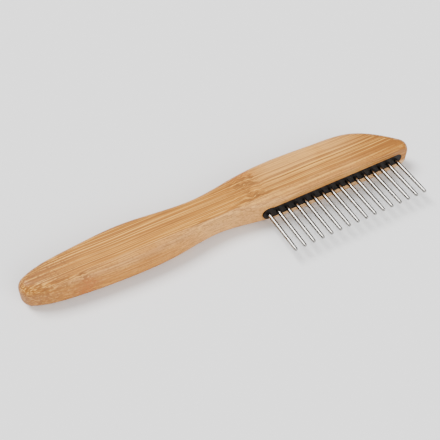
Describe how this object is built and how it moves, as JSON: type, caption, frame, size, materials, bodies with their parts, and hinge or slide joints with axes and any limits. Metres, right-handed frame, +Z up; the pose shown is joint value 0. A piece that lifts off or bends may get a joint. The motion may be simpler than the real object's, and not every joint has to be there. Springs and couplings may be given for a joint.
{
  "type": "grooming comb",
  "caption": "Flat wooden-handled pet comb with a single row of round steel pins that turn in a black strip let into the edge of the head.",
  "frame": {"origin": "bottom centre of the comb's box as it lies flat on a table", "axes": "+X along the comb from the handle's end to the head's tip, the pins point to -Y, +Z up through the thickness of the wood"},
  "size_m": [0.203, 0.0512, 0.015],
  "materials": {
    "bamboo": "sanded and lightly oiled, satin",
    "black_plastic": "moulded, satin",
    "steel": "polished stainless steel"
  },
  "bodies": {
    "handle": {"handle": "bamboo", "pin_strip": "black_plastic", "retainer_strip": "black_plastic"},
    "pin_01": {"pin_01": "steel"},
    "pin_02": {"pin_02": "steel"},
    "pin_03": {"pin_03": "steel"},
    "pin_04": {"pin_04": "steel"},
    "pin_05": {"pin_05": "steel"},
    "pin_06": {"pin_06": "steel"},
    "pin_07": {"pin_07": "steel"},
    "pin_08": {"pin_08": "steel"},
    "pin_09": {"pin_09": "steel"},
    "pin_10": {"pin_10": "steel"},
    "pin_11": {"pin_11": "steel"},
    "pin_12": {"pin_12": "steel"},
    "pin_13": {"pin_13": "steel"},
    "pin_14": {"pin_14": "steel"},
    "pin_15": {"pin_15": "steel"},
    "pin_16": {"pin_16": "steel"}
  },
  "joints": [
    {"name": "pin_01_spin", "type": "hinge", "parent": "handle", "child": "pin_01", "pos_m": [0.0178, 0, 0.0075], "axis": [0, 1, 0], "continuous": true},
    {"name": "pin_02_spin", "type": "hinge", "parent": "handle", "child": "pin_02", "pos_m": [0.0228, 0, 0.0075], "axis": [0, 1, 0], "continuous": true},
    {"name": "pin_03_spin", "type": "hinge", "parent": "handle", "child": "pin_03", "pos_m": [0.0278, 0, 0.0075], "axis": [0, 1, 0], "continuous": true},
    {"name": "pin_04_spin", "type": "hinge", "parent": "handle", "child": "pin_04", "pos_m": [0.0328, 0, 0.0075], "axis": [0, 1, 0], "continuous": true},
    {"name": "pin_05_spin", "type": "hinge", "parent": "handle", "child": "pin_05", "pos_m": [0.0378, 0, 0.0075], "axis": [0, 1, 0], "continuous": true},
    {"name": "pin_06_spin", "type": "hinge", "parent": "handle", "child": "pin_06", "pos_m": [0.0428, 0, 0.0075], "axis": [0, 1, 0], "continuous": true},
    {"name": "pin_07_spin", "type": "hinge", "parent": "handle", "child": "pin_07", "pos_m": [0.0478, 0, 0.0075], "axis": [0, 1, 0], "continuous": true},
    {"name": "pin_08_spin", "type": "hinge", "parent": "handle", "child": "pin_08", "pos_m": [0.0528, 0, 0.0075], "axis": [0, 1, 0], "continuous": true},
    {"name": "pin_09_spin", "type": "hinge", "parent": "handle", "child": "pin_09", "pos_m": [0.0578, 0, 0.0075], "axis": [0, 1, 0], "continuous": true},
    {"name": "pin_10_spin", "type": "hinge", "parent": "handle", "child": "pin_10", "pos_m": [0.0628, 0, 0.0075], "axis": [0, 1, 0], "continuous": true},
    {"name": "pin_11_spin", "type": "hinge", "parent": "handle", "child": "pin_11", "pos_m": [0.0678, 0, 0.0075], "axis": [0, 1, 0], "continuous": true},
    {"name": "pin_12_spin", "type": "hinge", "parent": "handle", "child": "pin_12", "pos_m": [0.0728, 0, 0.0075], "axis": [0, 1, 0], "continuous": true},
    {"name": "pin_13_spin", "type": "hinge", "parent": "handle", "child": "pin_13", "pos_m": [0.0778, 0, 0.0075], "axis": [0, 1, 0], "continuous": true},
    {"name": "pin_14_spin", "type": "hinge", "parent": "handle", "child": "pin_14", "pos_m": [0.0828, 0, 0.0075], "axis": [0, 1, 0], "continuous": true},
    {"name": "pin_15_spin", "type": "hinge", "parent": "handle", "child": "pin_15", "pos_m": [0.0878, 0, 0.0075], "axis": [0, 1, 0], "continuous": true},
    {"name": "pin_16_spin", "type": "hinge", "parent": "handle", "child": "pin_16", "pos_m": [0.0928, 0, 0.0075], "axis": [0, 1, 0], "continuous": true}
  ]
}
